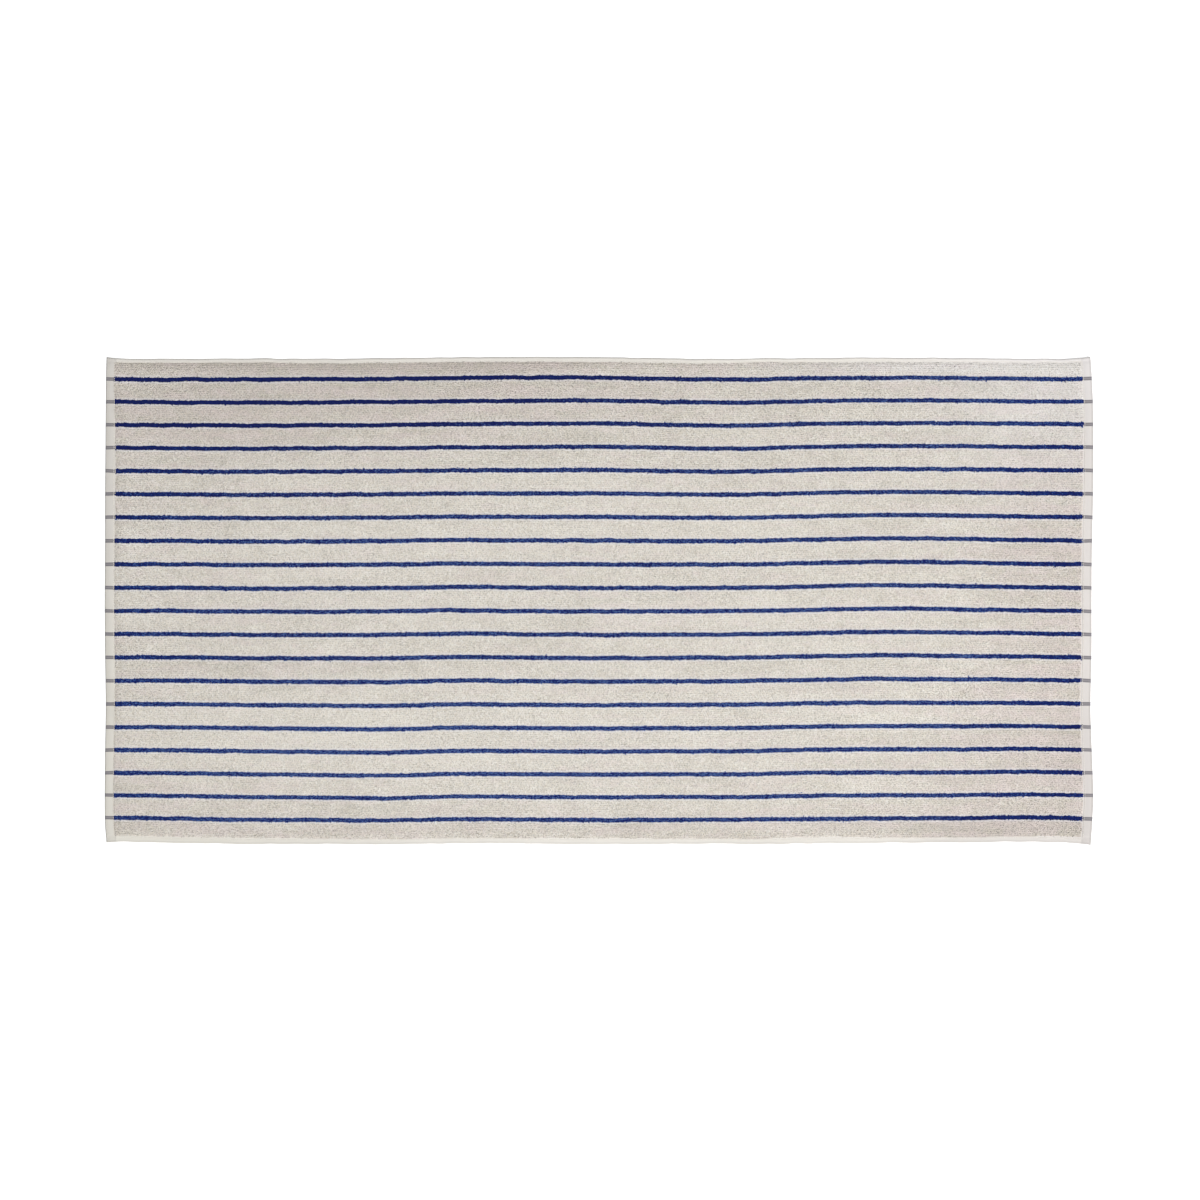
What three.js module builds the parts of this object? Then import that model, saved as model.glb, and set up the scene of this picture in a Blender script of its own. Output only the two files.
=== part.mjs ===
// A striped bath towel of cotton terry, laid out flat with its right side up.
//
// Millimetres, +Z up. +X runs along the towel, +Y across it, and z = 0 is the surface it lies on.
// The towel is one length of cloth, so it is one solid: terry with pile on both faces, a plain
// woven hem turned at each end, and a narrow turned hem along each side.

import * as THREE from 'three';

// Driving dimensions.
const LENGTH = 1400;
const WIDTH = 688;
const TERRY_THICKNESS = 4; // ground weave and the pile of both faces
const HEM_THICKNESS = 2.5; // cloth without pile, turned and sewn down
const END_HEM_WIDTH = 13.5;
const FAR_HEM_WIDTH = 6.5;
const NEAR_HEM_WIDTH = 8.6;
const PILE_RISE = 3; // from a hem to where the pile stands at its full height
const RIM_RADIUS = 0.9; // rounding of the turned edge

// Cells of the regular grid between the hems.
const CELLS_ALONG = 48;
const CELLS_ACROSS = 24;

const HALF_LENGTH = LENGTH / 2;
const HALF_WIDTH = WIDTH / 2;

// The cloth sways from side to side. Each row is a section across the towel at x, and each
// column says how far towards +Y the cloth lies there, at the place across the towel below.
const SWAY_COLUMNS = { nearEdge: -HALF_WIDTH, near: -246, middle: 0, far: 248, farEdge: HALF_WIDTH };
const SWAY = [
  { x: -700, nearEdge: 2.5, near: 0.0, middle: -0.5, far: 1.0, farEdge: -1.0 },
  { x: -600, nearEdge: 0.0, near: -0.5, middle: -0.5, far: 0.0, farEdge: -1.0 },
  { x: -500, nearEdge: -1.5, near: -2.0, middle: -1.5, far: -0.5, farEdge: -0.5 },
  { x: -400, nearEdge: -1.5, near: -3.0, middle: -1.5, far: 0.0, farEdge: -0.5 },
  { x: -300, nearEdge: -2.0, near: -4.0, middle: -1.0, far: 0.5, farEdge: 0.0 },
  { x: -200, nearEdge: -0.5, near: -1.5, middle: 0.5, far: 1.5, farEdge: 1.5 },
  { x: -100, nearEdge: -1.0, near: -2.0, middle: -0.5, far: 2.0, farEdge: 2.0 },
  { x: 0, nearEdge: -2.0, near: -2.5, middle: -1.0, far: 2.5, farEdge: 1.5 },
  { x: 100, nearEdge: -1.5, near: -2.0, middle: -1.0, far: 0.5, farEdge: 0.0 },
  { x: 200, nearEdge: -1.5, near: -2.0, middle: -0.5, far: -0.5, farEdge: -0.5 },
  { x: 300, nearEdge: -1.0, near: 0.0, middle: 1.0, far: 2.0, farEdge: 0.5 },
  { x: 400, nearEdge: 0.0, near: 0.5, middle: 3.0, far: 3.0, farEdge: 1.0 },
  { x: 500, nearEdge: 0.5, near: 0.5, middle: 2.0, far: 3.0, farEdge: 0.5 },
  { x: 600, nearEdge: 1.5, near: 1.5, middle: 0.5, far: 2.0, farEdge: -0.5 },
  { x: 700, nearEdge: 0.5, near: 0.0, middle: -1.0, far: 1.5, farEdge: -1.5 },
];

// The ends aren't straight either. Each row is a place across the towel, and the columns say how
// far towards +X the end at -X and the end at +X lie there.
const ENDS = [
  { y: -344, minus: 1.5, plus: -1.5 },
  { y: -320, minus: -0.5, plus: 0.5 },
  { y: -280, minus: -1.0, plus: 2.5 },
  { y: -215, minus: -0.5, plus: 0.5 },
  { y: -150, minus: 0.5, plus: -1.5 },
  { y: -70, minus: -0.5, plus: 0.0 },
  { y: 0, minus: -1.0, plus: 0.0 },
  { y: 70, minus: -0.5, plus: 0.5 },
  { y: 140, minus: -0.5, plus: 2.0 },
  { y: 210, minus: 0.0, plus: 2.5 },
  { y: 280, minus: 0.5, plus: 2.0 },
  { y: 320, minus: 1.0, plus: 0.0 },
  { y: 344, minus: 2.0, plus: -2.0 },
];

// The sewn corners stick out to the side in small ears.
const EARS = [
  { end: -1, side: -1, out: 1.5 },
  { end: -1, side: 1, out: 2.5 },
  { end: 1, side: -1, out: 3.5 },
  { end: 1, side: 1, out: 4.0 },
];
const EAR_LENGTH = 16; // how fast an ear fades along the side
const EAR_DEPTH = 25; // and how fast it fades into the cloth

// Where the cloth doesn't quite touch the surface: low swells, each with its centre, its reach
// along and across its own direction, how far it is turned in degrees, and its height.
const SWELLS = [
  { x: -455, y: 190, along: 170, across: 62, turn: 14, height: 2.2 },
  { x: -215, y: -205, along: 150, across: 58, turn: -20, height: 1.8 },
  { x: 150, y: 175, along: 190, across: 64, turn: -9, height: 2.0 },
  { x: 395, y: -135, along: 180, across: 70, turn: 24, height: 2.4 },
  { x: -560, y: -190, along: 90, across: 60, turn: 62, height: 1.4 },
  { x: 700, y: 344, along: 60, across: 38, turn: 35, height: 2.4 },
  { x: 700, y: -344, along: 50, across: 34, turn: -40, height: 1.8 },
  { x: -700, y: 344, along: 45, across: 34, turn: -35, height: 1.4 },
];

// The height, at one place, of a smooth curve through the values at the given stations.
function curveThrough(stations, values, place) {
  const last = stations.length - 1;
  const at = THREE.MathUtils.clamp(place, stations[0], stations[last]);
  let from = 0;
  while (from < last - 1 && at > stations[from + 1]) {
    from += 1;
  }
  const slope = (k) => {
    const before = Math.max(k - 1, 0);
    const after = Math.min(k + 1, last);
    return (values[after] - values[before]) / (stations[after] - stations[before]);
  };
  const step = stations[from + 1] - stations[from];
  const t = (at - stations[from]) / step;
  const rise = t * t * (3 - 2 * t);
  const leaving = slope(from) * step * t * (1 - t) * (1 - t);
  const arriving = slope(from + 1) * step * t * t * (1 - t);
  return THREE.MathUtils.lerp(values[from], values[from + 1], rise) + leaving - arriving;
}

// How far towards +Y the cloth lies at (u, v), its place along and across the straight towel.
function sway(u, v) {
  const stations = SWAY.map((row) => row.x);
  const columns = Object.keys(SWAY_COLUMNS);
  const section = columns.map((name) => curveThrough(stations, SWAY.map((row) => row[name]), u));
  let shift = curveThrough(Object.values(SWAY_COLUMNS), section, v);
  for (const ear of EARS) {
    const fromEnd = Math.abs(ear.end * HALF_LENGTH - u);
    const fromSide = Math.abs(ear.side * HALF_WIDTH - v);
    shift += ear.side * ear.out * Math.exp(-fromEnd / EAR_LENGTH - fromSide / EAR_DEPTH);
  }
  return shift;
}

// How far towards +X the cloth lies at (u, v). It is stretched evenly between its two ends.
function endShift(u, v) {
  const stations = ENDS.map((row) => row.y);
  const minus = curveThrough(stations, ENDS.map((row) => row.minus), v);
  const plus = curveThrough(stations, ENDS.map((row) => row.plus), v);
  return THREE.MathUtils.mapLinear(u, -HALF_LENGTH, HALF_LENGTH, minus, plus);
}

// How far the cloth is lifted off the surface at (u, v).
function lift(u, v) {
  let height = 0;
  for (const swell of SWELLS) {
    const turn = THREE.MathUtils.degToRad(swell.turn);
    const dx = u - swell.x;
    const dy = v - swell.y;
    const along = (dx * Math.cos(turn) + dy * Math.sin(turn)) / swell.along;
    const across = (dy * Math.cos(turn) - dx * Math.sin(turn)) / swell.across;
    const fade = Math.max(0, 1 - along * along - across * across);
    height += swell.height * fade * fade;
  }
  return height;
}

// The thickness of the cloth at (u, v): thin in the hems, full height where the pile stands.
function thickness(u, v) {
  const intoEnd = HALF_LENGTH - Math.abs(u) - END_HEM_WIDTH;
  const intoFar = HALF_WIDTH - v - FAR_HEM_WIDTH;
  const intoNear = HALF_WIDTH + v - NEAR_HEM_WIDTH;
  const pile = THREE.MathUtils.smoothstep(Math.min(intoEnd, intoFar, intoNear), 0, PILE_RISE);
  return THREE.MathUtils.lerp(HEM_THICKNESS, TERRY_THICKNESS, pile);
}

// The grid lines across one direction: two for each hem, and a regular grid between the hems.
function gridLines(half, lowHem, highHem, cells) {
  const low = -half + lowHem + PILE_RISE;
  const high = half - highHem - PILE_RISE;
  const lines = [-half, -half + RIM_RADIUS, -half + lowHem];
  for (let k = 0; k <= cells; k += 1) {
    lines.push(THREE.MathUtils.lerp(low, high, k / cells));
  }
  lines.push(half - highHem, half - RIM_RADIUS, half);
  return lines;
}

// A box cut into a grid, whose points are then laid out where the cloth lies. It is two cells
// high, so that its rim has a middle line that stands out and rounds the turned edge.
function towelGeometry() {
  const lengthLines = gridLines(HALF_LENGTH, END_HEM_WIDTH, END_HEM_WIDTH, CELLS_ALONG);
  const widthLines = gridLines(HALF_WIDTH, NEAR_HEM_WIDTH, FAR_HEM_WIDTH, CELLS_ACROSS);
  const columns = lengthLines.length - 1;
  const rows = widthLines.length - 1;
  const layers = 2;
  const geometry = new THREE.BoxGeometry(columns, rows, layers, columns, rows, layers);
  const points = geometry.attributes.position;
  for (let index = 0; index < points.count; index += 1) {
    const column = Math.round(points.getX(index) + columns / 2);
    const row = Math.round(points.getY(index) + rows / 2);
    const layer = Math.round(points.getZ(index) + layers / 2);
    const u = lengthLines[column];
    const v = widthLines[row];
    const onEnd = column === 0 || column === columns;
    const onSide = row === 0 || row === rows;
    const inset = layer === 1 ? 0 : RIM_RADIUS / 2;
    const insetX = onEnd ? Math.sign(u) * inset : 0;
    const insetY = onSide ? Math.sign(v) * inset : 0;
    const roundedTop = (onEnd || onSide) && layer === layers ? RIM_RADIUS / 2 : 0;
    const x = u + endShift(u, v) - insetX;
    const y = v + sway(u, v) - insetY;
    const z = lift(u, v) + (thickness(u, v) * layer) / layers - roundedTop;
    points.setXYZ(index, x, y, z);
  }
  geometry.computeVertexNormals();
  return geometry;
}

// The towel is centred on the middle of the surface it covers.
function centred(geometry) {
  geometry.computeBoundingBox();
  const middle = geometry.boundingBox.getCenter(new THREE.Vector3());
  return geometry.translate(-middle.x, -middle.y, 0);
}

const terry = new THREE.MeshStandardMaterial({ color: 0xd6cfc4, roughness: 0.95, metalness: 0 });

const towel = new THREE.Mesh(centred(towelGeometry()), terry);
towel.name = 'towel';

const bathTowel = new THREE.Group();
bathTowel.add(towel);

export default bathTowel;
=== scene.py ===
# %% [markdown]
# # A striped bath towel, laid out flat
# A bath towel is one length of terry. Its ground is a plain cotton weave, and extra warp yarns
# stand up from it in thousands of loops on both faces, which is the pile. Here most of the
# loops are unbleached cotton, and every 33 mm a few warps of navy loops make a thin stripe that
# runs from end to end. At the two ends the weaver leaves the pile out, and that flat strip is
# turned under twice and sewn down as the hem. The long sides get a narrower turned hem.
#
# The towel is modelled flat and straight, as it came off the loom, and laid out last: one
# function moves every point of every piece to where the cloth lies, with the same sways.

# %% Load the fixed frame
import math

import bpy
import numpy as np
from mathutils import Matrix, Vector, noise


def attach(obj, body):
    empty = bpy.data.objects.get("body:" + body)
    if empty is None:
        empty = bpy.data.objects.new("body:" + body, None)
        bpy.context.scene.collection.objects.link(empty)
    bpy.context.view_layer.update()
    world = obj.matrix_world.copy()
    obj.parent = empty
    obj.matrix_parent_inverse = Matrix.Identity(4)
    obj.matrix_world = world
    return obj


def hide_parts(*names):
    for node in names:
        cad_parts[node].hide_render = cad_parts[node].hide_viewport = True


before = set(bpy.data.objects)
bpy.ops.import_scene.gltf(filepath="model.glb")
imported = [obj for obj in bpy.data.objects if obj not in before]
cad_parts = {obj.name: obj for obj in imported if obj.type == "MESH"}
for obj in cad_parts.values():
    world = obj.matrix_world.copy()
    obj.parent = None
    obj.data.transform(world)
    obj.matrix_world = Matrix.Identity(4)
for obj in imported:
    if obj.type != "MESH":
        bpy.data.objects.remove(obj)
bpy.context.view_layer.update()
MM = 0.001

# %% [markdown]
# ## Sizes of the flat towel
# Everything is measured in millimetres from the middle of the straight towel: u runs along it
# and v across it. Near is the side at -Y and far the side at +Y. On the straight towel the
# stripes are spread evenly, from the first one at the near side.

# %% Sizes
LENGTH, WIDTH = 1400, 688
HALF_LENGTH, HALF_WIDTH = LENGTH / 2, WIDTH / 2
STRIPES = 20
STRIPE_PITCH = 32.9
FIRST_STRIPE = -309.6
STRIPE_WIDTH = 6.2
stripe_places = FIRST_STRIPE + STRIPE_PITCH * np.arange(STRIPES)
print("stripes from", stripe_places[0], "to", round(stripe_places[-1], 1), "mm")

# %% [markdown]
# ## How the cloth lies
# Cloth that is spread by hand never lies quite straight. It sways a few millimetres from side
# to side, its sewn corners stick out in small ears, and here and there it stays off the surface
# in a low swell. It could be left to a cloth simulation, but this cloth lies in a known way, so
# tables with a row for each section hold it, with a smooth curve between the rows. The solid
# that carries the towel's weight has the same sways, ends, ears and swells, so the soft model
# lies where the solid does. The spacing of the loops and the fold ridges are too small for it.

# %% Tables of the lie of the cloth
SWAY_COLUMNS = {
    "near_edge": -HALF_WIDTH,
    "near": -246,
    "middle": 0,
    "far": 248,
    "far_edge": HALF_WIDTH,
}
SWAY = [
    # u, then how far each place across the towel lies towards +Y
    dict(u=-700, near_edge=2.5, near=0.0, middle=-0.5, far=1.0, far_edge=-1.0),
    dict(u=-600, near_edge=0.0, near=-0.5, middle=-0.5, far=0.0, far_edge=-1.0),
    dict(u=-500, near_edge=-1.5, near=-2.0, middle=-1.5, far=-0.5, far_edge=-0.5),
    dict(u=-400, near_edge=-1.5, near=-3.0, middle=-1.5, far=0.0, far_edge=-0.5),
    dict(u=-300, near_edge=-2.0, near=-4.0, middle=-1.0, far=0.5, far_edge=0.0),
    dict(u=-200, near_edge=-0.5, near=-1.5, middle=0.5, far=1.5, far_edge=1.5),
    dict(u=-100, near_edge=-1.0, near=-2.0, middle=-0.5, far=2.0, far_edge=2.0),
    dict(u=0, near_edge=-2.0, near=-2.5, middle=-1.0, far=2.5, far_edge=1.5),
    dict(u=100, near_edge=-1.5, near=-2.0, middle=-1.0, far=0.5, far_edge=0.0),
    dict(u=200, near_edge=-1.5, near=-2.0, middle=-0.5, far=-0.5, far_edge=-0.5),
    dict(u=300, near_edge=-1.0, near=0.0, middle=1.0, far=2.0, far_edge=0.5),
    dict(u=400, near_edge=0.0, near=0.5, middle=3.0, far=3.0, far_edge=1.0),
    dict(u=500, near_edge=0.5, near=0.5, middle=2.0, far=3.0, far_edge=0.5),
    dict(u=600, near_edge=1.5, near=1.5, middle=0.5, far=2.0, far_edge=-0.5),
    dict(u=700, near_edge=0.5, near=0.0, middle=-1.0, far=1.5, far_edge=-1.5),
]
ENDS = [
    # v, then how far the end at -X and the end at +X lie towards +X
    dict(v=-344, minus=1.5, plus=-1.5),
    dict(v=-320, minus=-0.5, plus=0.5),
    dict(v=-280, minus=-1.0, plus=2.5),
    dict(v=-215, minus=-0.5, plus=0.5),
    dict(v=-150, minus=0.5, plus=-1.5),
    dict(v=-70, minus=-0.5, plus=0.0),
    dict(v=0, minus=-1.0, plus=0.0),
    dict(v=70, minus=-0.5, plus=0.5),
    dict(v=140, minus=-0.5, plus=2.0),
    dict(v=210, minus=0.0, plus=2.5),
    dict(v=280, minus=0.5, plus=2.0),
    dict(v=320, minus=1.0, plus=0.0),
    dict(v=344, minus=2.0, plus=-2.0),
]
EARS = [
    dict(end=-1, side=-1, out=1.5),
    dict(end=-1, side=1, out=2.5),
    dict(end=1, side=-1, out=3.5),
    dict(end=1, side=1, out=4.0),
]
EAR_LENGTH, EAR_DEPTH = 16, 25

# The rows of loops lie closer together in one place than in another, so the stripes aren't
# spaced quite evenly, and each one wanders a little along its way.
SPACING = [
    # v, then how far the cloth lies towards +Y there
    dict(v=-344, out=0.0),
    dict(v=-310, out=0.6),
    dict(v=-244, out=-0.4),
    dict(v=-162, out=-1.05),
    dict(v=-80, out=-0.45),
    dict(v=20, out=-0.55),
    dict(v=118, out=0.05),
    dict(v=184, out=-0.3),
    dict(v=250, out=-0.8),
    dict(v=316, out=-1.0),
    dict(v=344, out=0.0),
]
THREAD_DRIFT = 0.9
DRIFT_LENGTH, DRIFT_WIDTH = 24, 30

SWELLS = [
    dict(u=-455, v=190, along=170, across=62, turn=14, height=2.2),
    dict(u=-215, v=-205, along=150, across=58, turn=-20, height=1.8),
    dict(u=150, v=175, along=190, across=64, turn=-9, height=2.0),
    dict(u=395, v=-135, along=180, across=70, turn=24, height=2.4),
    dict(u=-560, v=-190, along=90, across=60, turn=62, height=1.4),
    dict(u=700, v=344, along=60, across=38, turn=35, height=2.4),
    dict(u=700, v=-344, along=50, across=34, turn=-40, height=1.8),
    dict(u=-700, v=344, along=45, across=34, turn=-35, height=1.4),
]
# A towel is sold folded, and each fold leaves a faint ridge across it.
FOLD_RIDGES = [
    dict(u=-351, height=0.7, reach=13),
    dict(u=-14, height=0.6, reach=16),
    dict(u=352, height=0.5, reach=15),
]

print(len(SWAY), "sections along the towel,", len(ENDS), "across it,", len(SWELLS), "swells")

# %% Curves and noise
def column(rows, name):
    """One column of a table."""
    return np.array([row[name] for row in rows], float)


def curve_through(stations, values, place):
    """A smooth curve through values, which has a row for each station, read at every place."""
    values = np.broadcast_to(values.reshape(len(stations), -1), (len(stations), len(place)))
    place = np.clip(place, stations[0], stations[-1])
    start = np.clip(np.searchsorted(stations, place) - 1, 0, len(stations) - 2)
    before = np.maximum(np.arange(len(stations)) - 1, 0)
    after = np.minimum(np.arange(len(stations)) + 1, len(stations) - 1)
    reach = (stations[after] - stations[before])[:, None]
    slopes = (values[after] - values[before]) / reach
    here = np.arange(len(place))
    step = stations[start + 1] - stations[start]
    t = (place - stations[start]) / step
    low, high = values[start, here], values[start + 1, here]
    leaving = slopes[start, here] * step * t * (1 - t) ** 2
    arriving = slopes[start + 1, here] * step * t**2 * (1 - t)
    return low + (high - low) * t**2 * (3 - 2 * t) + leaving - arriving


def soft_noise(u, v, size_u, size_v, layer=0):
    """A smooth chance value at each place, about -0.5 to 0.5, with patches of the given size."""
    return np.array([noise.noise(Vector((a / size_u, b / size_v, layer))) for a, b in zip(u, v)])


halfway = curve_through(column(SWAY, "u"), column(SWAY, "middle"), np.array([50.0]))
print("the middle sways", halfway.round(2), "mm at u = 50")

# %% The function that lays the cloth out
def sway(u, v):
    """How far each place lies towards +Y from where it is on the straight towel."""
    stations = column(SWAY, "u")
    section = np.array([curve_through(stations, column(SWAY, name), u) for name in SWAY_COLUMNS])
    shift = curve_through(np.array(list(SWAY_COLUMNS.values()), float), section, v)
    shift += curve_through(column(SPACING, "v"), column(SPACING, "out"), v)
    shift += THREAD_DRIFT * soft_noise(u, v, DRIFT_LENGTH, DRIFT_WIDTH, 9)
    for ear in EARS:
        from_end = np.abs(ear["end"] * HALF_LENGTH - u)
        from_side = np.abs(ear["side"] * HALF_WIDTH - v)
        shift += ear["side"] * ear["out"] * np.exp(-from_end / EAR_LENGTH - from_side / EAR_DEPTH)
    return shift


def end_shift(u, v):
    """How far each place lies towards +X from where it is on the straight towel."""
    minus = curve_through(column(ENDS, "v"), column(ENDS, "minus"), v)
    plus = curve_through(column(ENDS, "v"), column(ENDS, "plus"), v)
    return minus + (plus - minus) * (u + HALF_LENGTH) / LENGTH


def lift(u, v):
    """How far the cloth stays off the surface."""
    height = np.zeros(len(u))
    for swell in SWELLS:
        turn = math.radians(swell["turn"])
        du, dv = u - swell["u"], v - swell["v"]
        along = (du * math.cos(turn) + dv * math.sin(turn)) / swell["along"]
        across = (dv * math.cos(turn) - du * math.sin(turn)) / swell["across"]
        height += swell["height"] * np.maximum(0, 1 - along**2 - across**2) ** 2
    for ridge in FOLD_RIDGES:
        height += ridge["height"] * np.exp(-(((u - ridge["u"]) / ridge["reach"]) ** 2))
    return height


def vertex_places(mesh):
    """Where the points of a mesh are, a row of three for each."""
    places = np.empty(len(mesh.vertices) * 3)
    mesh.vertices.foreach_get("co", places)
    return places.reshape(-1, 3)


def laid(points):
    """Where points of the straight towel, in millimetres, lie once it is laid out."""
    u, v, height = points.T
    return np.column_stack([u + end_shift(u, v), v + sway(u, v), height + lift(u, v)])


def middle_of_the_towel():
    """The middle of the box around the outline, read every 2 mm, which goes to the origin."""
    across = np.linspace(-HALF_WIDTH, HALF_WIDTH, 345)
    along = np.linspace(-HALF_LENGTH, HALF_LENGTH, 701)
    ends = [(side * HALF_LENGTH, v, 0) for side in (-1, 1) for v in across]
    sides = [(u, side * HALF_WIDTH, 0) for side in (-1, 1) for u in along]
    outline = laid(np.array(ends + sides))
    return (outline.min(axis=0) + outline.max(axis=0)) / 2 * [1, 1, 0]


MIDDLE = middle_of_the_towel()
print("middle of the outline", MIDDLE.round(2), "mm")

# %% [markdown]
# ## Painted light and shade on the pile
# The pile is lit more in some places than in others, and the step up from each long hem shades
# it. That light and shade is painted into the colour of the pile and its loops. It could be
# painted on the cloth by hand. Here a table of soft round patches holds it, each lighter or
# darker, which can be read and changed row by row, and each point of the towel keeps the sum as
# its own value. The hems have a table of the same kind.

# %% Tables of the painted light and shade on the pile and on the hems
# Painted light and shade: each row lightens or darkens the pile where it is lit more or less.
PILE_LIGHT_AND_SHADE = [
    # centre, how far it reaches along and across, and how much lighter or darker it is
    dict(u=-520, v=290, along=430, across=110, tone=-0.7),
    dict(u=-150, v=275, along=330, across=85, tone=-0.6),
    dict(u=-350, v=-88, along=380, across=18, tone=-0.55),
    dict(u=-270, v=30, along=300, across=12, tone=-0.35),
    dict(u=660, v=-230, along=240, across=210, tone=-1.15),
    dict(u=0, v=-335, along=900, across=50, tone=-0.8),
    dict(u=0, v=344, along=900, across=32, tone=-0.5),
    dict(u=0, v=341, along=900, across=19, tone=-1.5),
    dict(u=0, v=320, along=1000, across=70, tone=-0.6),
    dict(u=-310, v=-20, along=330, across=270, tone=0.35),
    dict(u=100, v=-20, along=560, across=300, tone=0.3),
    dict(u=-695, v=0, along=30, across=500, tone=-0.5),
    dict(u=700, v=60, along=220, across=240, tone=-1.0),
    dict(u=480, v=-300, along=200, across=45, tone=-0.3),
    dict(u=-35, v=-230, along=260, across=110, tone=0.4),
    dict(u=-50, v=-160, along=900, across=55, tone=0.35),
    dict(u=-80, v=150, along=260, across=60, tone=0.3),
    dict(u=-670, v=10, along=140, across=90, tone=0.5),
    dict(u=610, v=285, along=150, across=75, tone=0.5),
    dict(u=420, v=340, along=480, across=40, tone=0.7),
    dict(u=-380, v=-195, along=330, across=75, tone=0.45),
    dict(u=-420, v=85, along=330, across=50, tone=0.35),
    dict(u=-680, v=-285, along=110, across=80, tone=-0.4),
    dict(u=560, v=-335, along=260, across=45, tone=-0.55),
    dict(u=-170, v=-335, along=260, across=30, tone=0.3),
    dict(u=700, v=-200, along=60, across=130, tone=-0.3),
    dict(u=-500, v=275, along=300, across=70, tone=-0.2),
    dict(u=-560, v=265, along=200, across=80, tone=-0.45),
    dict(u=-330, v=-230, along=300, across=60, tone=0.35),
    dict(u=100, v=110, along=330, across=80, tone=0.3),
    dict(u=700, v=-250, along=110, across=130, tone=-0.5),
    dict(u=-640, v=-170, along=160, across=90, tone=0.35),
    dict(u=-400, v=35, along=330, across=25, tone=0.3),
    dict(u=-480, v=336, along=430, across=13, tone=-0.7),
    dict(u=-200, v=326, along=190, across=24, tone=-0.6),
    dict(u=10, v=330, along=110, across=16, tone=0.7),
    dict(u=150, v=334, along=170, across=17, tone=0.8),
    dict(u=420, v=336, along=300, across=15, tone=0.7),
    dict(u=640, v=336, along=170, across=18, tone=0.6),
    dict(u=-650, v=-325, along=190, across=26, tone=-0.7),
    dict(u=-90, v=-326, along=220, across=15, tone=0.4),
    dict(u=600, v=-326, along=190, across=28, tone=-1.2),
]

# The hems curl up and down a little, and catch more light in one place than in another. That
# light and shade is painted into their colour.
HEM_LIGHT_AND_SHADE = [
    dict(u=700, v=130, along=60, across=330, tone=-0.05),
    dict(u=690, v=0, along=9, across=600, tone=0.15),
    dict(u=700, v=-290, along=60, across=230, tone=-0.65),
    dict(u=-700, v=344, along=60, across=200, tone=-0.1),
    dict(u=-500, v=344, along=500, across=20, tone=-0.35),
    dict(u=20, v=344, along=250, across=20, tone=-0.25),
    dict(u=600, v=344, along=500, across=20, tone=0.1),
    dict(u=650, v=-344, along=250, across=20, tone=-1.1),
    dict(u=-60, v=-344, along=300, across=20, tone=0.2),
    dict(u=-400, v=-344, along=400, across=20, tone=-0.05),
]

print(len(PILE_LIGHT_AND_SHADE), "patches of nap and", len(HEM_LIGHT_AND_SHADE), "on the hems")

# %% Give each point its painted light and shade, and its place
def tone_from(patches_of_tone, u, v):
    """The sum of soft round patches, read at every place."""
    tone = np.zeros(len(u))
    for patch in patches_of_tone:
        far = ((u - patch["u"]) / patch["along"]) ** 2 + ((v - patch["v"]) / patch["across"]) ** 2
        tone += patch["tone"] * np.maximum(0, 1 - far) ** 1.5
    return tone


def lay_out(piece):
    """Keeps each point's painted shading and its place on the straight towel, in metres, then moves it.
    """
    mesh = piece.data
    flat = vertex_places(mesh)
    place = mesh.attributes.new("flat", "FLOAT_VECTOR", "POINT")
    place.data.foreach_set("vector", flat.ravel() * MM)
    pile_shading = mesh.attributes.new("pile_shading", "FLOAT", "POINT")
    pile_shading.data.foreach_set("value", tone_from(PILE_LIGHT_AND_SHADE, *flat.T[:2]))
    mesh.vertices.foreach_set("co", ((laid(flat) - MIDDLE) * MM).ravel())
    mesh.update()


print("nap in the middle of the towel:", tone_from(PILE_LIGHT_AND_SHADE, np.zeros(1), np.zeros(1)).round(2))

# %% [markdown]
# ## The camera
# The towel is seen from straight above, with its length across the view. A wide lens close by
# would see the loops near the hems from their sides. A long lens from four metres up sees them
# all from nearly straight above.

# %% Camera
VIEW_WIDTH = 1702.4 * MM
VIEW_MIDDLE = (1.25 * MM, 1.2 * MM)
TERRY_HEIGHT = 4 * MM
LENS, SENSOR = 85, 36

camera_data = bpy.data.cameras.new("camera")
camera_data.lens = LENS
camera_data.sensor_width = SENSOR
camera_data.clip_end = 50
camera = bpy.data.objects.new("camera", camera_data)
bpy.context.scene.collection.objects.link(camera)
camera.location = (*VIEW_MIDDLE, VIEW_WIDTH * LENS / SENSOR + TERRY_HEIGHT)
camera.rotation_euler = (0, 0, 0)
bpy.context.scene.camera = camera
print("camera height", round(camera.location.z, 3), "m")

# %% [markdown]
# ## The cloth
# The cloth is a closed sheet: a face, an underside and a rounded rim. It could be a box with a
# bevel, but a hem has a shape of its own: a folded edge, a flat band, a dip where the stitches
# pull it down, and a step where the pile begins. So the sheet starts as a grid whose outer lines
# are moved to those places, Solidify gives it an underside, and a table gives the height at each
# distance from the edge. The hems were turned by hand, so another table widens and narrows them
# along the way. Between the hems the grid is regular, and its height is the mass of the pile, a
# little uneven, on which the loops stand.

# %% Profiles of the hems
# Distance in from the edge, and height of the face there.
END_HEM, FAR_HEM, NEAR_HEM = 13.5, 6.5, 8.6
END_SEAM, FAR_SEAM, NEAR_SEAM = 12.2, 4.4, 6.4
TURNED_EDGE = [(0.0, 1.3), (0.5, 2.1), (1.4, 2.5)]
PILE_RISE = [(0.0, 2.0), (1.2, 2.6), (3.5, 2.95), (7.0, 3.2), (11.0, 3.3)]


def hem_profile(seam, hem):
    """From the turned edge, over the band and the dip of the seam, up the slope of the pile."""
    edge = TURNED_EDGE[-1][0]
    band = [((edge + seam) / 2, 2.65), (seam - 1.0, 2.55), (seam, 2.1), ((seam + hem) / 2, 2.4)]
    return np.array(TURNED_EDGE + band + [(hem + rise, height) for rise, height in PILE_RISE])


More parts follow.
